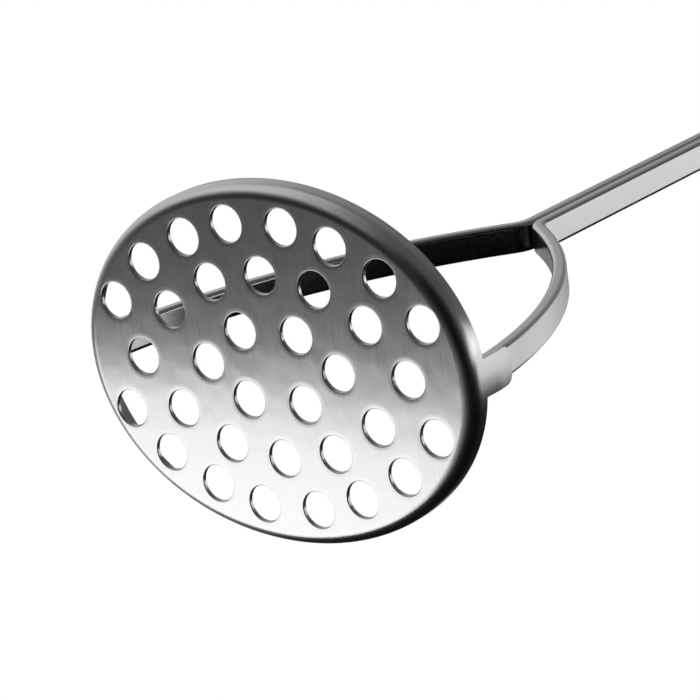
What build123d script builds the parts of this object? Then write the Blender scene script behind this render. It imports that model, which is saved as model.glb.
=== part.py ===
"""Potato masher: an oval pressed plate on two flat strips that meet in a straight handle.

Upright on its mash face: +Z up, origin in the middle of the mash face, the oval's long
axis along X. The strips bend in the XZ plane. Lengths are in millimetres, turns in degrees.
"""

import os
from math import acos, asin, cos, degrees, radians, sin

from build123d import *

# Mash head: one pressed sheet with a bent edge and a low upright skirt
head_half_length = 50.0
head_half_width = 39.0
sheet = 1.0
skirt_height = 5.3
edge_radius = 3.2
rim_rounding = 0.3

# Mash holes, rounded on the side that meets the food
hole_radius = 4.0
hole_entry_radius = 0.55

# One quarter of the hole pattern, inner oval first, as shares of the head's half length and
# half width. The outer oval leaves out the place at the ear.
hole_place_shares = (
    (0.338, 0.0), (0.146, 0.189),
    (0.688, 0.0), (0.507, 0.277), (0.270, 0.450), (0.0, 0.506),
    (0.794, 0.306), (0.609, 0.537), (0.378, 0.690), (0.141, 0.777),
)

# Ears: tabs of the skirt that rise along the outside of the strips
ear_width = 8.0
ear_top = 15.0
ear_corner_radius = 2.2
ear_clearance = 0.02

# Strips: flat stock with rounded edges. Bend radii are those of the strip's centre line.
strip_width = 6.8
strip_thickness = 3.1
strip_edge_radius = 1.0
kink_height = 9.2
kink_radius = 10.0
kink_turn = 6.6
arc_radius = 134.0
neck_radius = 6.3

# Handle and hanging eye
overall_length = 275.0
eye_radius = 6.0
throat_radius = 6.3

# Resistance-weld nuggets
nugget_radius = 1.2
nugget_depth = 0.4
ear_nugget_spacing = 3.4
handle_nugget_margin = 8.0
handle_nugget_count = 4

# Where the strips stand: inside the skirt, above the bend of the sheet's edge. The flat of a
# strip meets the curved wall at both sides of the flat.
strip_flat_half_width = strip_width / 2 - strip_edge_radius
wall_turn = asin(strip_flat_half_width / (head_half_width - sheet))
seat_x = (head_half_length - sheet) * cos(wall_turn) - ear_clearance
foot_x = seat_x - strip_thickness / 2
foot_height = edge_radius
handle_x = strip_thickness / 2

# The turn of the long arc at the neck, which brings the strips face to face
kink_shift = kink_radius * (1 - cos(radians(kink_turn)))
arc_start_reach = arc_radius * cos(radians(kink_turn)) + kink_shift
neck_turn = degrees(acos((arc_start_reach + neck_radius + handle_x - foot_x) / (arc_radius + neck_radius)))
neck_height = (
    kink_height
    + (kink_radius - arc_radius) * sin(radians(kink_turn))
    + (arc_radius + neck_radius) * sin(radians(neck_turn))
)

# The eye: each strip spreads at the throat, then runs round half of the eye to its tip
eye_path_radius = eye_radius + strip_thickness / 2
throat_turn = degrees(acos((handle_x + throat_radius) / (throat_radius + eye_path_radius)))
eye_height = overall_length - eye_radius - strip_thickness
throat_height = eye_height - (throat_radius + eye_path_radius) * sin(radians(throat_turn))
eye_tip_turn = 90 + throat_turn


def both_sides(share, half_size):
    """A place on each side of the centre line, or one place where it lies on the line."""
    return (share * half_size, -share * half_size) if share else (0,)


def spread(first, last, count):
    """Evenly spaced places from first to last, both included."""
    return [first + (last - first) * step / (count - 1) for step in range(count)]


def kink_and_arc(start, arc_turn):
    """The kink above the upright foot, and the long arc through arc_turn."""
    kink = JernArc(start=start, tangent=(0, 1), radius=kink_radius, arc_size=kink_turn)
    return JernArc(start=kink @ 1, tangent=kink % 1, radius=arc_radius, arc_size=arc_turn)


def nuggets(plane, places, mode=Mode.ADD):
    """Weld nuggets across a contact plane, or with Mode.SUBTRACT the room that they take up."""
    with BuildSketch(plane) as spots:
        with Locations(*places):
            Circle(nugget_radius)
    extrude(spots.sketch, amount=nugget_depth, both=True, mode=mode)


# Places of the holes and of the nuggets
hole_places = [
    (x, y)
    for x_share, y_share in hole_place_shares
    for x in both_sides(x_share, head_half_length)
    for y in both_sides(y_share, head_half_width)
]
ear_nugget_height = (foot_height + kink_height) / 2
ear_nugget_places = [(y, ear_nugget_height) for y in (-ear_nugget_spacing / 2, ear_nugget_spacing / 2)]
right_ear_contact = Plane.YZ.offset(seat_x)
left_ear_contact = Plane.YZ.offset(-seat_x)
handle_nugget_heights = spread(
    neck_height + handle_nugget_margin, throat_height - handle_nugget_margin, handle_nugget_count
)
tip_height = eye_height + eye_path_radius
handle_nugget_places = [(0, height) for height in (*handle_nugget_heights, tip_height)]

# Ear top: the skirt's wall carried on along the strip's kink and arc, with round corners
with BuildPart() as ear_top_piece:
    with BuildLine(Plane.XZ):
        kink_and_arc((foot_x, kink_height), degrees((ear_top - kink_height) / arc_radius))
    with BuildSketch(Plane.XY.offset(kink_height)):
        Ellipse(head_half_length, head_half_width)
        Ellipse(head_half_length - sheet, head_half_width - sheet, mode=Mode.SUBTRACT)
        with Locations((head_half_length, 0)):
            Rectangle(head_half_length, ear_width, mode=Mode.INTERSECT)
    sweep()
    with BuildSketch(Plane.YZ) as ear_outline:
        with Locations((0, kink_height)):
            Rectangle(ear_width, ear_top - kink_height, align=(Align.CENTER, Align.MIN))
        fillet(ear_outline.vertices().group_by(Axis.Z)[-1], radius=ear_corner_radius)
    extrude(amount=head_half_length, mode=Mode.INTERSECT)

# Masher plate: a dished oval whose wall stands full height at the ears and is cut down elsewhere
with BuildPart() as masher_plate:
    with BuildSketch():
        Ellipse(head_half_length, head_half_width)
    extrude(amount=kink_height)
    fillet(masher_plate.edges().group_by(Axis.Z)[0], radius=edge_radius)
    with BuildSketch(Plane.XY.offset(sheet)):
        Ellipse(head_half_length - sheet, head_half_width - sheet)
    extrude(amount=kink_height, mode=Mode.SUBTRACT)
    dish_corner = masher_plate.edges().filter_by_position(Axis.Z, sheet, sheet)
    fillet(dish_corner, radius=edge_radius - sheet)
    with BuildSketch(Plane.XY.offset(skirt_height)):
        Rectangle(2 * head_half_length, 2 * head_half_width)
        Rectangle(2 * head_half_length, ear_width, mode=Mode.SUBTRACT)
    extrude(amount=kink_height, mode=Mode.SUBTRACT)
    rim = masher_plate.edges().filter_by_position(Axis.Z, skirt_height, skirt_height)
    fillet(rim.filter_by(GeomType.LINE, reverse=True), radius=rim_rounding)
    add(ear_top_piece.part)
    mirror(ear_top_piece.part, about=Plane.YZ)
    with Locations(*hole_places):
        Hole(hole_radius)
    hole_entries = masher_plate.edges().filter_by(GeomType.CIRCLE).filter_by_position(Axis.Z, 0, 0)
    fillet(hole_entries, radius=hole_entry_radius)
    nuggets(right_ear_contact, ear_nugget_places, mode=Mode.SUBTRACT)
    nuggets(left_ear_contact, ear_nugget_places, mode=Mode.SUBTRACT)
masher_plate.part.label = "masher_plate"

# Right bar: foot, kink, long arc, neck, handle, throat and half of the eye in one bent strip
with BuildPart() as right_bar:
    with BuildLine(Plane.XZ):
        Line((foot_x, foot_height), (foot_x, kink_height))
        arc = kink_and_arc((foot_x, kink_height), neck_turn - kink_turn)
        neck = JernArc(start=arc @ 1, tangent=arc % 1, radius=neck_radius, arc_size=-neck_turn)
        handle = Line(neck @ 1, (handle_x, throat_height))
        throat = JernArc(start=handle @ 1, tangent=handle % 1, radius=throat_radius, arc_size=-throat_turn)
        JernArc(start=throat @ 1, tangent=throat % 1, radius=eye_path_radius, arc_size=eye_tip_turn)
    with BuildSketch(Plane.XY.offset(foot_height)):
        with Locations((foot_x, 0)):
            RectangleRounded(strip_thickness, strip_width, strip_edge_radius)
    sweep()
    nuggets(right_ear_contact, ear_nugget_places, mode=Mode.SUBTRACT)
    nuggets(Plane.YZ, handle_nugget_places, mode=Mode.SUBTRACT)
right_bar.part.label = "right_bar"

# Left bar: the same strip turned to face the first
with BuildPart() as left_bar:
    mirror(right_bar.part, about=Plane.YZ)
left_bar.part.label = "left_bar"

# Nuggets between the ears and the feet of the strips
with BuildPart() as ear_spot_welds:
    nuggets(right_ear_contact, ear_nugget_places)
    nuggets(left_ear_contact, ear_nugget_places)
ear_spot_welds.part.label = "ear_spot_welds"

# Nuggets between the two strips, along the handle and at the tips of the eye
with BuildPart() as handle_spot_welds:
    nuggets(Plane.YZ, handle_nugget_places)
handle_spot_welds.part.label = "handle_spot_welds"

os.makedirs("parts", exist_ok=True)
for piece in (masher_plate, right_bar, left_bar, ear_spot_welds, handle_spot_welds):
    export_step(piece.part, f"parts/{piece.part.label}.step")

print(f"neck at z {neck_height:.1f}, turn {neck_turn:.1f} degrees")
print(f"eye centre at z {eye_height:.2f}, throat at z {throat_height:.1f}")
print(f"{len(hole_places)} mash holes")
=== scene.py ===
"""Looks of the potato masher: a perforated oval plate with two ears, and two bent strips.

Metres, upright on the mash face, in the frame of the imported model.
"""

from math import acos, asin, cos, pi, radians, sin, sqrt

import bmesh
import bpy
from mathutils import Matrix, Quaternion, Vector


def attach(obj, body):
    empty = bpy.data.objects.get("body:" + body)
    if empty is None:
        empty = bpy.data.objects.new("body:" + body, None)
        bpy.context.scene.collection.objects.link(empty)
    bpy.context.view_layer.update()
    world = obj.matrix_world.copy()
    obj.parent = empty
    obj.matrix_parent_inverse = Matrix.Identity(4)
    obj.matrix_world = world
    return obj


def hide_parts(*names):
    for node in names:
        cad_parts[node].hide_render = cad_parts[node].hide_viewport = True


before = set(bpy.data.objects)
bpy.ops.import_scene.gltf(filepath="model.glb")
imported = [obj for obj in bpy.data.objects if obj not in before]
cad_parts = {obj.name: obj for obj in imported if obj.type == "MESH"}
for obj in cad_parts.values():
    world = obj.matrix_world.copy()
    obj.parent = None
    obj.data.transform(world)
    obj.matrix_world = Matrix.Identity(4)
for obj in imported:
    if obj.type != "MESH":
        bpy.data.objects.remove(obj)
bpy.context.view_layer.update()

mm = 0.001
scene = bpy.context.scene


# Camera. A long lens at arm's length looks up at the mash face from below. It is rolled, so
# that the plate's narrow axis stands upright and the handle runs off to the upper right.
camera_place = Vector((481.97, -223.12, -581.45)) * mm
camera_target = Vector((12.08, -1.28, 10.95)) * mm
camera_roll = -62.82
lens = bpy.data.cameras.new("long_lens")
lens.sensor_width = 36
lens.lens = 197.6
lens.clip_start = 10 * mm
camera = bpy.data.objects.new("camera", lens)
view_axis = (camera_target - camera_place).normalized()
level = view_axis.to_track_quat("-Z", "Y")
camera.rotation_mode = "QUATERNION"
camera.rotation_quaternion = Quaternion(view_axis, radians(camera_roll)) @ level
camera.location = camera_place
scene.collection.objects.link(camera)
scene.camera = camera
scene.view_settings.view_transform = "Standard"


# Studio. A grey room with lit walls, a tall bright window and black flags, as steel is
# photographed, and two white cards near the object. Camera rays see a white background.
def add_node(tree, kind, inputs={}, **settings):
    """Adds a node with its settings, and fills its inputs with values or links."""
    node = tree.nodes.new(kind)
    for name, value in settings.items():
        setattr(node, name, value)
    for name, value in inputs.items():
        socket = node.inputs[name]
        if isinstance(value, bpy.types.NodeSocket):
            tree.links.new(value, socket)
        else:
            socket.default_value = value
    return node


# Each patch of the room: its bearing from +X and its height, the turn it fills, the turn
# where it ends, all in degrees, and its level. A later patch lies over an earlier one.
room_level = 0.21
room_patches = (
    ("overhead", 68, 32, 23, 68, 0.96),
    ("left_wall", -122, -19, 31, 45, 0.86),
    ("upper_left_wall", -146, 33, 13, 42, 0.34),
    ("top_window", 30, 72, 12, 24, 0.88),
    ("left_window", 198, 22, 13, 37, 0.76),
    ("dark_side", -18, -15, 60, 104, 0.10),
    ("high_window", 20, 48, 19, 25, 1.15),
    ("far_flag", 78, 10, 51, 61, 0.008),
    ("near_far_flag", 48, -9, 41, 47, 0.002),
    ("camera_flag", -12, -50, 22, 59, 0.001),
    ("floor_shade", -161, -56, 4, 39, 0.019),
)


def bearing(turn, height):
    """The unit vector at a turn round Z from +X and a height above the horizon, in degrees."""
    turn, height = radians(turn), radians(height)
    return Vector((cos(height) * cos(turn), cos(height) * sin(turn), sin(height)))


world = bpy.data.worlds.new("studio_room")
scene.world = world
world.use_nodes = True
room = world.node_tree
room.nodes.clear()
toward = add_node(room, "ShaderNodeTexCoord").outputs["Generated"]
room_light = room_level
for name, turn, height, filled, ended, patch_level in room_patches:
    near = add_node(room, "ShaderNodeVectorMath", {
        0: toward, 1: bearing(turn, height),
    }, operation="DOT_PRODUCT")
    share = add_node(room, "ShaderNodeMapRange", {
        "Value": near.outputs["Value"], "From Min": cos(radians(ended)), "From Max": cos(
            radians(filled),
        ),
    }, interpolation_type="SMOOTHSTEP")
    mixed = add_node(room, "ShaderNodeMix", {
        "Factor": share.outputs["Result"], "A": room_light, "B": patch_level,
    }, label=name)
    room_light = mixed.outputs["Result"]
seen = add_node(room, "ShaderNodeLightPath").outputs["Is Camera Ray"]
backdrop = add_node(room, "ShaderNodeMix", {"Factor": seen, "A": room_light, "B": 1.0})
emitted = add_node(room, "ShaderNodeBackground", {
    "Color": (1, 1, 1, 1), "Strength": backdrop.outputs["Result"],
})
add_node(room, "ShaderNodeOutputWorld", {"Surface": emitted.outputs["Background"]})

# The white cards are seen in the metal only. The edge of the lower one crosses what the
# mash face mirrors, and so gives the face its run from grey to white. Places are in mm.
cards = (
    ("card_below", (-79, 86, -71.6), -29.5, 61.4, -52.7, 179 * mm, 100 * mm, 1.55),
    ("side_card", (220, -25, 73), 230, -32.6, 25, 76 * mm, 162 * mm, 1.3),
)
for name, place, turn, height, roll, card_width, card_height, radiance in cards:
    facing = bearing(turn, height)
    side = Vector((0, 0, 1)).cross(facing).normalized()
    upright = Matrix((side, facing.cross(side), facing)).transposed().to_quaternion()
    card_data = bpy.data.lights.new(name, "AREA")
    card_data.shape = "RECTANGLE"
    card_data.size, card_data.size_y = card_width, card_height
    card_data.energy = pi * radiance * card_width * card_height
    card = bpy.data.objects.new(name, card_data)
    card.rotation_mode = "QUATERNION"
    card.rotation_quaternion = Quaternion(
        facing, radians(roll),
    ) @ upright @ Quaternion((1, 0, 0), pi)
    card.location = Vector(place) * mm
    card.visible_camera = False
    card.visible_diffuse = False
    scene.collection.objects.link(card)

# A pale floor under the object. It is seen and shaded from above only, so that the view
# from below looks through it, and it takes no light from what stands on it.
floor_data = bpy.data.meshes.new("floor")
floor_half, floor_height = 3.0, -0.5 * mm
corner_signs = ((-1, -1), (1, -1), (1, 1), (-1, 1))
floor_corners = [(x * floor_half, y * floor_half, floor_height) for x, y in corner_signs]
floor_data.from_pydata(floor_corners, [], [(0, 1, 2, 3)])
floor = bpy.data.objects.new("floor", floor_data)
scene.collection.objects.link(floor)
floor.visible_shadow = False
floor.visible_diffuse = False
floor.visible_glossy = False
paper_shade, paper_glow = (0.82, 0.82, 0.82, 1), 0.68
paper = bpy.data.materials.new("matt_white_paper")
paper.use_nodes = True
sheet_nodes = paper.node_tree
sheet_nodes.nodes.clear()
lit = add_node(sheet_nodes, "ShaderNodeBsdfDiffuse", {"Color": paper_shade})
lift = add_node(sheet_nodes, "ShaderNodeEmission", {"Strength": paper_glow})
both = add_node(sheet_nodes, "ShaderNodeAddShader", {0: lit.outputs[0], 1: lift.outputs[0]})
clear = add_node(sheet_nodes, "ShaderNodeBsdfTransparent", {"Color": (1, 1, 1, 1)})
facing = add_node(sheet_nodes, "ShaderNodeNewGeometry").outputs["Backfacing"]
one_sided = add_node(sheet_nodes, "ShaderNodeMixShader", {
    0: facing, 1: both.outputs[0], 2: clear.outputs[0],
})
add_node(sheet_nodes, "ShaderNodeOutputMaterial", {"Surface": one_sided.outputs[0]})
floor_data.materials.append(paper)


# Mash plate. One pressed oval of 1 mm stainless sheet with a low skirt and two ears. Its
# holes are punched from the food side, which draws the sheet in softly round each of them.
# The face is linished along the short axis before the edge is bent.
half_length, half_width, sheet = 50.0 * mm, 39.0 * mm, 1.0 * mm
skirt_height, edge_radius, rim_rounding = 5.3 * mm, 3.2 * mm, 0.3 * mm
ear_half_width, ear_top, ear_corner = 4.0 * mm, 15.0 * mm, 2.2 * mm
ear_edge_break = 0.42 * mm
hole_radius, roll_width, roll_depth, burr_break = 4.0 * mm, 0.25 * mm, 0.3 * mm, 0.06 * mm
dish_width, dish_depth = 1.1 * mm, 0.03 * mm
hole_facets = 48
# The punch stands this little below the face, so that its cut runs clear of it
skim = 0.001 * mm
hole_shares = (
    (0.338, 0.0), (0.146, 0.189),
    (0.688, 0.0), (0.507, 0.277), (0.270, 0.450), (0.0, 0.506),
    (0.794, 0.306), (0.609, 0.537), (0.378, 0.690), (0.141, 0.777),
)
# The strips' path beside the ears, on the strips' centre line
foot_x, kink_height, kink_radius, kink_turn = 47.33 * mm, 9.2 * mm, 10.0 * mm, radians(6.6)
arc_radius = 134.0 * mm


def lean(offset, height):
    """Distance from the middle of a surface that follows the strip, at its offset and height."""
    rise = height - kink_height
    if rise <= 0:
        return foot_x + offset
    reach = kink_radius + offset
    if rise <= reach * sin(kink_turn):
        return foot_x - kink_radius + sqrt(reach ** 2 - rise ** 2)
    arc_x = foot_x - kink_radius - (arc_radius - kink_radius) * cos(kink_turn)
    arc_rise = (kink_radius - arc_radius) * sin(kink_turn)
    return arc_x + sqrt((arc_radius + offset) ** 2 - (rise - arc_rise) ** 2)


def quarter(steps):
    """Turns from zero to a right angle."""
    return [pi / 2 * step / steps for step in range(steps + 1)]


# Stations round the plate. Each ear's stations carry the height of its rounded outline, and
# the others stand a little closer together toward the ends of the short axis.
corner_start = ear_half_width - ear_corner
corner_steps = 8
ear_stations = [(corner_start * share, ear_top) for share in (0.0, 0.5)] + [
    (corner_start + ear_corner * sin(turn), ear_top - ear_corner * (1 - cos(turn)))
    for turn in quarter(corner_steps)
]
ear_end = asin(ear_half_width / half_width)
skirt_steps, crowding = 76, 0.93
quarter_stations = [(asin(y / half_width), top) for y, top in ear_stations]
quarter_stations += [
    (ear_end + (pi / 2 - ear_end) * (step / skirt_steps) ** crowding, None)
    for step in range(1, skirt_steps + 1)
]
stations = (
    quarter_stations
    + [(pi - turn, top) for turn, top in reversed(quarter_stations[:-1])]
    + [(pi + turn, top) for turn, top in quarter_stations[1:]]
    + [(2 * pi - turn, top) for turn, top in reversed(quarter_stations[1:-1])]
)

# The wall's section as insets from the outline and heights: bend, upright, rim and back down
inner_radius = edge_radius - sheet
rim_low = skirt_height - rim_rounding
outer_steps, rim_steps, inner_steps, upright_steps = 14, 4, 10, 3
upright_heights = [
    edge_radius + (rim_low - edge_radius) * step / upright_steps
    for step in range(1, upright_steps + 1)
]
outer_profile = [
    (edge_radius * (1 - sin(turn)), edge_radius * (1 - cos(turn))) for turn in quarter(outer_steps)
]
outer_profile += [(0.0, height) for height in upright_heights]
rim_profile = [
    (rim_rounding * (1 - cos(turn)), rim_low + rim_rounding * sin(turn))
    for turn in quarter(rim_steps)
]
rim_profile += [(sheet - inset, height) for inset, height in reversed(rim_profile)]
inner_profile = [(sheet, height) for height in reversed(upright_heights)]
inner_profile += [
    (edge_radius - inner_radius * cos(turn), edge_radius - inner_radius * sin(turn))
    for turn in quarter(inner_steps)
]

wall = bmesh.new()
blank = wall.loops.layers.uv.new("sheet_uv")
break_weight = wall.edges.layers.float.new("bevel_weight_edge")
blank_place = {}


def wall_point(turn, inset, height):
    """A point of the plate's wall, with its place on the flat blank that it was pressed from."""
    edge = Vector((half_length * cos(turn), half_width * sin(turn)))
    outward = Vector((cos(turn) / half_length, sin(turn) / half_width)).normalized()
    squareness = min(max((abs(edge.y) - ear_half_width) / (2 * ear_half_width), 0.0), 1.0)
    across = Vector((outward.x, outward.y * squareness)).normalized()
    place = edge - across * inset / across.dot(outward)
    if height > kink_height:
        place.x = lean(abs(place.x) - foot_x, height) * (1 if place.x > 0 else -1)
    vert = wall.verts.new((place.x, place.y, height))
    bend = asin(min(max(1 - height / edge_radius, 0.0), 1.0))
    drawn = (pi / 2 - bend) * (edge_radius - sheet / 2) + max(height - edge_radius, 0.0)
    blank_place[vert] = edge - across * edge_radius + across * drawn
    return vert


def wall_face(*verts):
    """A face of the wall, with its places on the blank."""
    face = wall.faces.new(verts)
    for loop in face.loops:
        loop[blank].uv = blank_place[loop.vert]
    return face


columns = [
    [wall_point(turn, inset, height) for inset, height in outer_profile + inner_profile]
    for turn, top in stations
]
rims = {
    index: [wall_point(turn, inset, height) for inset, height in rim_profile[1:-1]]
    for index, (turn, top) in enumerate(stations)
    if top is None or None in (stations[index - 1][1], stations[(index + 1) % len(stations)][1])
}
outer_last = len(outer_profile) - 1
ear_rows = 18
ears = {}
for index, (turn, top) in enumerate(stations):
    if top:
        heights = [rim_low + (top - rim_low) * row / ear_rows for row in range(1, ear_rows + 1)]
        outer = [columns[index][outer_last]] + [wall_point(turn, 0.0, height) for height in heights]
        inner = [columns[index][outer_last + 1]]
        inner += [wall_point(turn, sheet, height) for height in heights]
        ears[index] = outer, inner
for index, column in enumerate(columns):
    following = (index + 1) % len(columns)
    beside = columns[following]
    for row in range(len(column) - 1):
        if row != outer_last:
            wall_face(column[row], beside[row], beside[row + 1], column[row + 1])
    if index in ears and following in ears:
        for side, other in zip(ears[index], ears[following]):
            for row in range(ear_rows):
                wall_face(side[row], other[row], other[row + 1], side[row + 1])
        (outer, inner), (outer_beside, inner_beside) = ears[index], ears[following]
        wall_face(outer[-1], outer_beside[-1], inner_beside[-1], inner[-1])
        for first, second in ((outer, outer_beside), (inner, inner_beside)):
            wall.edges.get((first[-1], second[-1]))[break_weight] = 1.0
    else:
        low = [column[outer_last], *rims[index], column[outer_last + 1]]
        low_beside = [beside[outer_last], *rims[following], beside[outer_last + 1]]
        for row in range(len(low) - 1):
            wall_face(low[row], low_beside[row], low_beside[row + 1], low[row + 1])
        for end, rim in ((index, low), (following, low_beside)):
            if end in ears:
                outer, inner = ears[end]
                wall_face(*outer, *reversed(inner), *reversed(rim[1:-1]))
                for line in (outer, inner):
                    for row in range(ear_rows):
                        wall.edges.get((line[row], line[row + 1]))[break_weight] = 1.0
wall_face(*(column[0] for column in columns))
wall_face(*(column[-1] for column in columns))
bmesh.ops.recalc_face_normals(wall, faces=wall.faces)
for x_share, y_share in hole_shares:
    for x in {x_share, -x_share}:
        for y in {y_share, -y_share}:
            wall.verts.new((x * half_length, y * half_width, 0))
wall_mesh = bpy.data.meshes.new("mash_plate")
wall.to_mesh(wall_mesh)
wall.free()
mash_plate = bpy.data.objects.new("mash_plate", wall_mesh)
scene.collection.objects.link(mash_plate)


def steel_from_hex(code):
    """A colour written as sRGB hex, as linear values with full alpha."""
    shares = [int(code[place:place + 2], 16) / 255 for place in (1, 3, 5)]
    return [
        share / 12.92 if share <= 0.04045 else ((share + 0.055) / 1.055) ** 2.4
        for share in shares
    ] + [1.0]


# Linished 18/10 stainless: fine straight scratches that spread each light across them and
# leave it sharp along them. The real lines are 0.05 mm wide and are drawn at 0.3 mm to show.
linished = bpy.data.materials.new("linished_stainless_sheet")
linished.use_nodes = True
steel = linished.node_tree
bsdf = steel.nodes["Principled BSDF"]
line_width, line_length, line_depth = 0.3 * mm, 14 * mm, 0.02 * mm
dent_width, dent_depth = 8 * mm, 0.08 * mm
on_blank = add_node(steel, "ShaderNodeUVMap", uv_map="sheet_uv")
stretched = add_node(steel, "ShaderNodeMapping", {
    "Vector": on_blank.outputs["UV"], "Scale": (1 / line_width, 1 / line_length, 1),
})
lines = add_node(steel, "ShaderNodeTexNoise", {
    "Vector": stretched.outputs["Vector"], "Scale": 1.0, "Detail": 3.0, "Roughness": 0.6,
})
steel_colour = add_node(steel, "ShaderNodeMix", {
    0: lines.outputs["Fac"], 6: steel_from_hex("#C6C6C5"), 7: steel_from_hex("#D1D1D0"),
}, data_type="RGBA")
gloss = add_node(steel, "ShaderNodeMapRange", {
    "Value": lines.outputs["Fac"], "From Min": 0.3, "From Max": 0.7, "To Min": 0.26, "To Max": 0.31,
})
dents = add_node(steel, "ShaderNodeTexNoise", {
    "Vector": on_blank.outputs["UV"], "Scale": 1 / dent_width, "Detail": 1.0,
})
uneven = add_node(steel, "ShaderNodeBump", {
    "Height": dents.outputs["Fac"], "Strength": 1.0, "Distance": dent_depth,
})
scratched = add_node(steel, "ShaderNodeBump", {
    "Height": lines.outputs["Fac"], "Strength": 0.055, "Distance": line_depth,
    "Normal": uneven.outputs["Normal"],
})
along_sheet = add_node(steel, "ShaderNodeTangent", direction_type="UV_MAP", uv_map="sheet_uv")
bsdf.inputs["Metallic"].default_value = 1.0
bsdf.inputs["Anisotropic"].default_value = 0.6
for socket, value in (
    ("Base Color", steel_colour.outputs[2]), ("Roughness", gloss.outputs["Result"]),
    ("Normal", scratched.outputs["Normal"]), ("Tangent", along_sheet.outputs["Tangent"]),
):
    steel.links.new(value, bsdf.inputs[socket])

# The punching tree sets a punch at each loose point and cuts the pressed sheet with it. The
# punch is as wide as the hole. It flares out to a tight roll and then a shallow dish, which
# is how the sheet is drawn in at the face that meets food.
punching = bpy.data.node_groups.new("punched_holes", "GeometryNodeTree")
for name, kind in (
    ("Pressing and places", "NodeSocketGeometry"), ("Sheet", "NodeSocketFloat"),
    ("Hole radius", "NodeSocketFloat"), ("Burr break", "NodeSocketFloat"),
    ("Roll width", "NodeSocketFloat"), ("Roll depth", "NodeSocketFloat"),
    ("Dish width", "NodeSocketFloat"), ("Dish depth", "NodeSocketFloat"),
    ("Facets round a hole", "NodeSocketInt"), ("Steel", "NodeSocketMaterial"),
):
    punching.interface.new_socket(name, in_out="INPUT", socket_type=kind)
punching.interface.new_socket("Plate", in_out="OUTPUT", socket_type="NodeSocketGeometry")
given = add_node(punching, "NodeGroupInput").outputs
neighbours = add_node(punching, "GeometryNodeInputMeshVertexNeighbors")
is_place = add_node(punching, "FunctionNodeCompare", {
    2: neighbours.outputs["Vertex Count"], 3: 0,
}, data_type="INT", operation="EQUAL")
split = add_node(punching, "GeometryNodeSeparateGeometry", {
    "Geometry": given["Pressing and places"], "Selection": is_place.outputs[0],
})
spots = add_node(punching, "GeometryNodeMeshToPoints", {"Mesh": split.outputs["Selection"]})
# The punch's section: X is out from the hole's wall, and minus Y is up through the sheet
axis = add_node(punching, "ShaderNodeMath", {
    0: given["Hole radius"], 1: -1.0,
}, operation="MULTIPLY").outputs[0]
rim_width = add_node(punching, "ShaderNodeMath", {
    0: given["Roll width"], 1: given["Dish width"],
}, operation="ADD").outputs[0]
dish_low = add_node(punching, "ShaderNodeMath", {
    0: skim, 1: given["Dish depth"],
}, operation="SUBTRACT").outputs[0]
roll_low = add_node(punching, "ShaderNodeMath", {
    0: dish_low, 1: given["Roll depth"],
}, operation="SUBTRACT").outputs[0]
wall_top = add_node(punching, "ShaderNodeMath", {
    0: given["Burr break"], 1: given["Sheet"],
}, operation="SUBTRACT").outputs[0]
punch_top = add_node(punching, "ShaderNodeMath", {
    0: given["Sheet"], 1: -2.0,
}, operation="MULTIPLY").outputs[0]
top_flare = add_node(punching, "ShaderNodeMath", {
    0: given["Burr break"], 1: given["Sheet"],
}, operation="ADD").outputs[0]
quarter_roll = add_node(punching, "GeometryNodeCurveArc", {
    "Resolution": 12, "Radius": 1.0, "Start Angle": pi / 2, "Sweep Angle": pi / 2,
}, mode="RADIUS")
roll_size = add_node(punching, "ShaderNodeCombineXYZ", {
    "X": given["Roll width"], "Y": given["Roll depth"], "Z": 1.0,
})
roll_shift = add_node(punching, "ShaderNodeCombineXYZ", {"X": given["Roll width"], "Y": roll_low})
roll = add_node(punching, "GeometryNodeTransform", {
    "Geometry": quarter_roll.outputs["Curve"], "Scale": roll_size.outputs[0],
    "Translation": roll_shift.outputs[0],
})
dish_turn = pi / 6
flat_arc = add_node(punching, "GeometryNodeCurveArc", {
    "Resolution": 8, "Radius": 1.0, "Start Angle": pi / 2, "Sweep Angle": dish_turn,
}, mode="RADIUS")
dish_across = add_node(punching, "ShaderNodeMath", {
    0: given["Dish width"], 1: sin(dish_turn),
}, operation="DIVIDE").outputs[0]
dish_down = add_node(punching, "ShaderNodeMath", {
    0: given["Dish depth"], 1: 1 - cos(dish_turn),
}, operation="DIVIDE").outputs[0]
dish_size = add_node(punching, "ShaderNodeCombineXYZ", {"X": dish_across, "Y": dish_down, "Z": 1.0})
dish_top = add_node(punching, "ShaderNodeMath", {
    0: skim, 1: dish_down,
}, operation="SUBTRACT").outputs[0]
dish_shift = add_node(punching, "ShaderNodeCombineXYZ", {"X": rim_width, "Y": dish_top})
dish = add_node(punching, "GeometryNodeTransform", {
    "Geometry": flat_arc.outputs["Curve"], "Scale": dish_size.outputs[0],
    "Translation": dish_shift.outputs[0],
})
corners = [
    add_node(punching, "ShaderNodeCombineXYZ", dict(zip("XY", corner))).outputs[0]
    for corner in (
        (0.0, roll_low), (0.0, wall_top), (top_flare, punch_top),
        (axis, punch_top), (axis, given["Sheet"]), (rim_width, given["Sheet"]), (rim_width, skim),
    )
]
section = add_node(punching, "GeometryNodeJoinGeometry")
punching.links.new(dish.outputs[0], section.inputs[0])
punching.links.new(roll.outputs[0], section.inputs[0])
for start, end in zip(corners, corners[1:]):
    run = add_node(punching, "GeometryNodeCurvePrimitiveLine", {"Start": start, "End": end})
    if end is not corners[4]:
        punching.links.new(run.outputs["Curve"], section.inputs[0])
rail = add_node(punching, "GeometryNodeCurvePrimitiveCircle", {
    "Resolution": given["Facets round a hole"], "Radius": given["Hole radius"],
})
turned = add_node(punching, "GeometryNodeCurveToMesh", {
    "Curve": rail.outputs["Curve"], "Profile Curve": section.outputs[0],
})
seam = 0.0005 * mm
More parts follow.
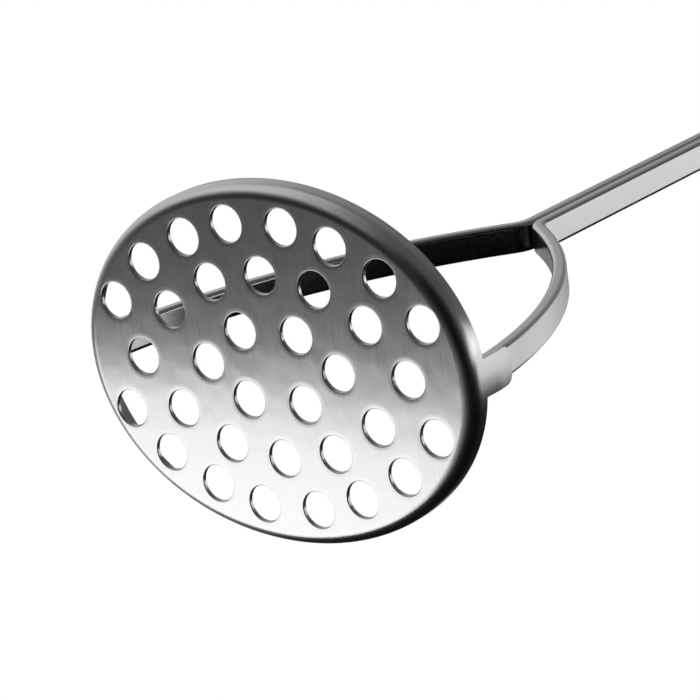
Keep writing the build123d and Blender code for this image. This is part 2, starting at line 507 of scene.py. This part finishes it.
punch = add_node(punching, "GeometryNodeMergeByDistance", {
    "Geometry": turned.outputs[0], "Distance": seam,
})
outwards = add_node(punching, "GeometryNodeFlipFaces", {"Mesh": punch.outputs[0]})
punch_set = add_node(punching, "GeometryNodeInstanceOnPoints", {
    "Points": spots.outputs[0], "Instance": outwards.outputs[0],
})
punches = add_node(punching, "GeometryNodeRealizeInstances", {"Geometry": punch_set.outputs[0]})
place = add_node(punching, "GeometryNodeInputPosition").outputs["Position"]
on_sheet = add_node(punching, "GeometryNodeStoreNamedAttribute", {
    "Geometry": punches.outputs[0], "Name": "sheet_uv", "Value": place,
}, data_type="FLOAT2", domain="CORNER")
punched = add_node(punching, "GeometryNodeMeshBoolean", {
    0: split.outputs["Inverted"], 1: on_sheet.outputs[0],
}, operation="DIFFERENCE", solver="EXACT")
made_real = add_node(punching, "GeometryNodeRealizeInstances", {"Geometry": punched.outputs[0]})
finished = add_node(punching, "GeometryNodeSetMaterial", {
    "Geometry": made_real.outputs[0], "Material": given["Steel"],
})
add_node(punching, "NodeGroupOutput", {"Plate": finished.outputs[0]})


smooth_up_to = radians(35)


def make_plain(piece, tree, sizes):
    """Runs the tree on the piece with its named sizes, keeps the result as a closed plain
    mesh with its faces outwards, and shades it smooth up to its sharp edges."""
    modifier = piece.modifiers.new(tree.name, "NODES")
    modifier.node_group = tree
    for item in tree.interface.items_tree:
        if item.item_type == "SOCKET" and item.in_out == "INPUT" and item.name in sizes:
            modifier[item.identifier] = sizes[item.name]
    depsgraph = bpy.context.evaluated_depsgraph_get()
    mesh = bpy.data.meshes.new_from_object(piece.evaluated_get(depsgraph))
    piece.modifiers.clear()
    piece.data = mesh
    closing = bmesh.new()
    closing.from_mesh(mesh)
    bmesh.ops.recalc_face_normals(closing, faces=closing.faces)
    closing.to_mesh(mesh)
    closing.free()
    mesh.shade_smooth()
    mesh.set_sharp_from_angle(angle=smooth_up_to)
    piece.modifiers.new("flat_faces_first", "WEIGHTED_NORMAL").keep_sharp = True
    depsgraph = bpy.context.evaluated_depsgraph_get()
    piece.data = bpy.data.meshes.new_from_object(piece.evaluated_get(depsgraph))
    piece.modifiers.clear()
    piece.data.name = piece.name


ear_breaks = mash_plate.modifiers.new("ear_breaks", "BEVEL")
ear_breaks.limit_method = "WEIGHT"
ear_breaks.width = ear_edge_break
ear_breaks.segments = 3
make_plain(mash_plate, punching, {
    "Sheet": sheet, "Hole radius": hole_radius, "Roll width": roll_width, "Roll depth": roll_depth,
    "Dish width": dish_width, "Dish depth": dish_depth, "Burr break": burr_break,
    "Facets round a hole": hole_facets, "Steel": linished,
})
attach(mash_plate, "root")
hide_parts("masher_plate")


# Strips. Two lengths of flat stainless stock with rolled edges, bent cold to the same form
# and turned to face each other: foot, kink, long arc, neck, handle, throat and half an eye.
strip_width, strip_thickness, strip_edge = 6.8 * mm, 3.1 * mm, 1.0 * mm
neck_radius, throat_radius, eye_radius, overall_length = 6.3 * mm, 6.3 * mm, 6.0 * mm, 275.0 * mm
handle_x = strip_thickness / 2
arc_start_reach = arc_radius * cos(kink_turn) + kink_radius * (1 - cos(kink_turn))
neck_turn = acos((arc_start_reach + neck_radius + handle_x - foot_x) / (arc_radius + neck_radius))
eye_path = eye_radius + strip_thickness / 2
throat_turn = acos((handle_x + throat_radius) / (throat_radius + eye_path))
eye_height = overall_length - eye_radius - strip_thickness
throat_height = eye_height - (throat_radius + eye_path) * sin(throat_turn)
foot_height = edge_radius


def turned_by(arrow, angle):
    """A flat vector, turned to the left by an angle."""
    return Vector((
        arrow.x * cos(angle) - arrow.y * sin(angle),
        arrow.x * sin(angle) + arrow.y * cos(angle),
    ))


def bend_on(path, ahead, radius, turn, step):
    """Carries the path on round a bend, to the left for a positive turn. Returns the way that
    the path points after it."""
    start = path[-1]
    centre = start + Vector((-ahead.y, ahead.x)) * (1 if turn > 0 else -1) * radius
    count = max(3, int(abs(turn) * radius / step))
    for place in range(1, count + 1):
        path.append(centre + turned_by(start - centre, turn * place / count))
    return turned_by(ahead, turn)


foot_middle = (foot_height + kink_height) / 2
strip_path = [Vector((foot_x, height)) for height in (foot_height, foot_middle, kink_height)]
ahead = Vector((0, 1))
long_step, short_step, neck_step = 1.0 * mm, 0.3 * mm, 0.25 * mm
ahead = bend_on(strip_path, ahead, kink_radius, kink_turn, short_step)
ahead = bend_on(strip_path, ahead, arc_radius, neck_turn - kink_turn, long_step)
ahead = bend_on(strip_path, ahead, neck_radius, -neck_turn, neck_step)
neck_end = strip_path[-1].y
for share in (0.02, 0.5, 0.98, 1.0):
    strip_path.append(Vector((handle_x, neck_end + (throat_height - neck_end) * share)))
ahead = bend_on(strip_path, ahead, throat_radius, -throat_turn, neck_step)
ahead = bend_on(strip_path, ahead, eye_path, pi / 2 + throat_turn, short_step)
# A point just before the tip squares its end face, where the two strips meet
tip_step = 0.02 * mm
strip_path.insert(-1, strip_path[-1] - ahead * tip_step)

# Ground stainless strip: the same steel with finer scratches, drawn lengthwise, so that it
# mirrors its surroundings more sharply than the plate does.
ground = bpy.data.materials.new("ground_stainless_strip")
ground.use_nodes = True
steel = ground.node_tree
bsdf = steel.nodes["Principled BSDF"]
grain_width, grain_length, grain_depth = 0.35 * mm, 10 * mm, 0.02 * mm
on_strip = add_node(steel, "ShaderNodeUVMap", uv_map="strip_uv")
stretched = add_node(steel, "ShaderNodeMapping", {
    "Vector": on_strip.outputs["UV"], "Scale": (1 / grain_length, 1 / grain_width, 1),
})
grain = add_node(steel, "ShaderNodeTexNoise", {
    "Vector": stretched.outputs["Vector"], "Scale": 1.0, "Detail": 3.0, "Roughness": 0.6,
})
steel_colour = add_node(steel, "ShaderNodeMix", {
    0: grain.outputs["Fac"], 6: steel_from_hex("#C6C6C5"), 7: steel_from_hex("#D0D0CF"),
}, data_type="RGBA")
gloss = add_node(steel, "ShaderNodeMapRange", {
    "Value": grain.outputs["Fac"], "From Min": 0.3, "From Max": 0.7, "To Min": 0.17, "To Max": 0.23,
})
# Painted shade: the steel's colour turns dark in the fork of the neck, where the strips meet, to
# stand for the shade and dark reflections there
on_object = add_node(steel, "ShaderNodeTexCoord").outputs["Object"]
in_fork = add_node(steel, "ShaderNodeSeparateXYZ", {"Vector": on_object})
fork_top, fork_fade = 100 * mm, 4 * mm
fork_shade_share = 1.0
for direction, full, none in (("X", 1.9 * mm, 2.8 * mm), ("Y", 2.5 * mm, 2.9 * mm)):
    off = add_node(steel, "ShaderNodeMath", {0: in_fork.outputs[direction]}, operation="ABSOLUTE")
    close = add_node(steel, "ShaderNodeMapRange", {
        "Value": off.outputs[0], "From Min": none, "From Max": full,
    })
    fork_shade_share = add_node(steel, "ShaderNodeMath", {
        0: close.outputs["Result"], 1: fork_shade_share,
    }, operation="MULTIPLY").outputs[0]
low_fork = add_node(steel, "ShaderNodeMapRange", {
    "Value": in_fork.outputs["Z"], "From Min": fork_top + fork_fade, "From Max": fork_top,
})
fork_shade_share = add_node(steel, "ShaderNodeMath", {
    0: fork_shade_share, 1: low_fork.outputs["Result"],
}, operation="MULTIPLY").outputs[0]
# Painted shade: the strip's colour is mixed toward dark grey #5F5E5C inside the fork of the neck
steel_colour = add_node(steel, "ShaderNodeMix", {
    0: fork_shade_share, 6: steel_colour.outputs[2], 7: steel_from_hex("#5F5E5C"),
}, data_type="RGBA")
scratched = add_node(steel, "ShaderNodeBump", {
    "Height": grain.outputs["Fac"], "Strength": 0.06, "Distance": grain_depth,
})
along_strip = add_node(steel, "ShaderNodeTangent", direction_type="UV_MAP", uv_map="strip_uv")
bsdf.inputs["Metallic"].default_value = 1.0
bsdf.inputs["Anisotropic"].default_value = 0.3
bsdf.inputs["Anisotropic Rotation"].default_value = 0.25
for socket, value in (
    ("Base Color", steel_colour.outputs[2]), ("Roughness", gloss.outputs["Result"]),
    ("Normal", scratched.outputs["Normal"]), ("Tangent", along_strip.outputs["Tangent"]),
):
    steel.links.new(value, bsdf.inputs[socket])

# The rolling tree draws the strip's rounded section along its path, flat side to the bend
rolling = bpy.data.node_groups.new("rolled_strip", "GeometryNodeTree")
for name, kind in (
    ("Path", "NodeSocketGeometry"), ("Width", "NodeSocketFloat"), ("Thickness", "NodeSocketFloat"),
    ("Edge radius", "NodeSocketFloat"), ("Steel", "NodeSocketMaterial"),
):
    rolling.interface.new_socket(name, in_out="INPUT", socket_type=kind)
rolling.interface.new_socket("Strip", in_out="OUTPUT", socket_type="NodeSocketGeometry")
given = add_node(rolling, "NodeGroupInput").outputs
bent = add_node(rolling, "GeometryNodeMeshToCurve", {"Mesh": given["Path"]})
level_path = add_node(rolling, "GeometryNodeSetCurveNormal", {
    "Curve": bent.outputs[0], "Normal": (0, 1, 0),
}, mode="FREE")
how_far = add_node(rolling, "GeometryNodeSplineParameter").outputs["Length"]
marked = add_node(rolling, "GeometryNodeStoreNamedAttribute", {
    "Geometry": level_path.outputs[0], "Name": "along", "Value": how_far,
}, data_type="FLOAT", domain="POINT")
stock = add_node(rolling, "GeometryNodeCurvePrimitiveQuadrilateral", {
    "Width": given["Width"], "Height": given["Thickness"],
})
rolled_edges = add_node(rolling, "GeometryNodeFilletCurve", {
    "Curve": stock.outputs[0], "Count": 8, "Radius": given["Edge radius"],
}, mode="POLY")
drawn = add_node(rolling, "GeometryNodeCurveToMesh", {
    "Curve": marked.outputs[0], "Profile Curve": rolled_edges.outputs[0], "Fill Caps": True,
})
place = add_node(rolling, "GeometryNodeInputPosition").outputs["Position"]
crosswise = add_node(rolling, "ShaderNodeSeparateXYZ", {"Vector": place}).outputs["Y"]
along = add_node(rolling, "GeometryNodeInputNamedAttribute", {"Name": "along"}, data_type="FLOAT")
unrolled = add_node(rolling, "ShaderNodeCombineXYZ", {"X": along.outputs[0], "Y": crosswise})
on_stock = add_node(rolling, "GeometryNodeStoreNamedAttribute", {
    "Geometry": drawn.outputs[0], "Name": "strip_uv", "Value": unrolled.outputs[0],
}, data_type="FLOAT2", domain="CORNER")
made_real = add_node(rolling, "GeometryNodeRealizeInstances", {"Geometry": on_stock.outputs[0]})
finished = add_node(rolling, "GeometryNodeSetMaterial", {
    "Geometry": made_real.outputs[0], "Material": given["Steel"],
})
add_node(rolling, "NodeGroupOutput", {"Strip": finished.outputs[0]})

for name, node, side in (("right_strip", "right_bar", 1), ("left_strip", "left_bar", -1)):
    path_mesh = bpy.data.meshes.new(name)
    path_mesh.from_pydata(
        [(side * point.x, 0, point.y) for point in strip_path],
        [(place, place + 1) for place in range(len(strip_path) - 1)], [],
    )
    strip = bpy.data.objects.new(name, path_mesh)
    scene.collection.objects.link(strip)
    make_plain(strip, rolling, {
        "Width": strip_width, "Thickness": strip_thickness, "Edge radius": strip_edge,
        "Steel": ground,
    })
    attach(strip, "root")
    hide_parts(node)


# Spot welds. Nuggets of the same steel, melted together inside the ears and between the
# strips by resistance welding. They keep their places in the model and a cast, dull finish.
cast = bpy.data.materials.new("weld_nugget_stainless")
cast.use_nodes = True
steel = cast.node_tree
bsdf = steel.nodes["Principled BSDF"]
nugget_grain = 0.3 * mm
on_piece = add_node(steel, "ShaderNodeTexCoord")
dendrites = add_node(steel, "ShaderNodeTexNoise", {
    "Vector": on_piece.outputs["Object"], "Scale": 1 / nugget_grain, "Detail": 4.0,
})
steel_colour = add_node(steel, "ShaderNodeMix", {
    0: dendrites.outputs["Fac"], 6: steel_from_hex("#A9A8A6"), 7: steel_from_hex("#C4C3C1"),
}, data_type="RGBA")
gloss = add_node(steel, "ShaderNodeMapRange", {
    "Value": dendrites.outputs["Fac"], "To Min": 0.35, "To Max": 0.55,
})
bsdf.inputs["Metallic"].default_value = 1.0
steel.links.new(steel_colour.outputs[2], bsdf.inputs["Base Color"])
steel.links.new(gloss.outputs["Result"], bsdf.inputs["Roughness"])
for node in ("ear_spot_welds", "handle_spot_welds"):
    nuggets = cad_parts[node]
    nuggets.data.materials.clear()
    nuggets.data.materials.append(cast)
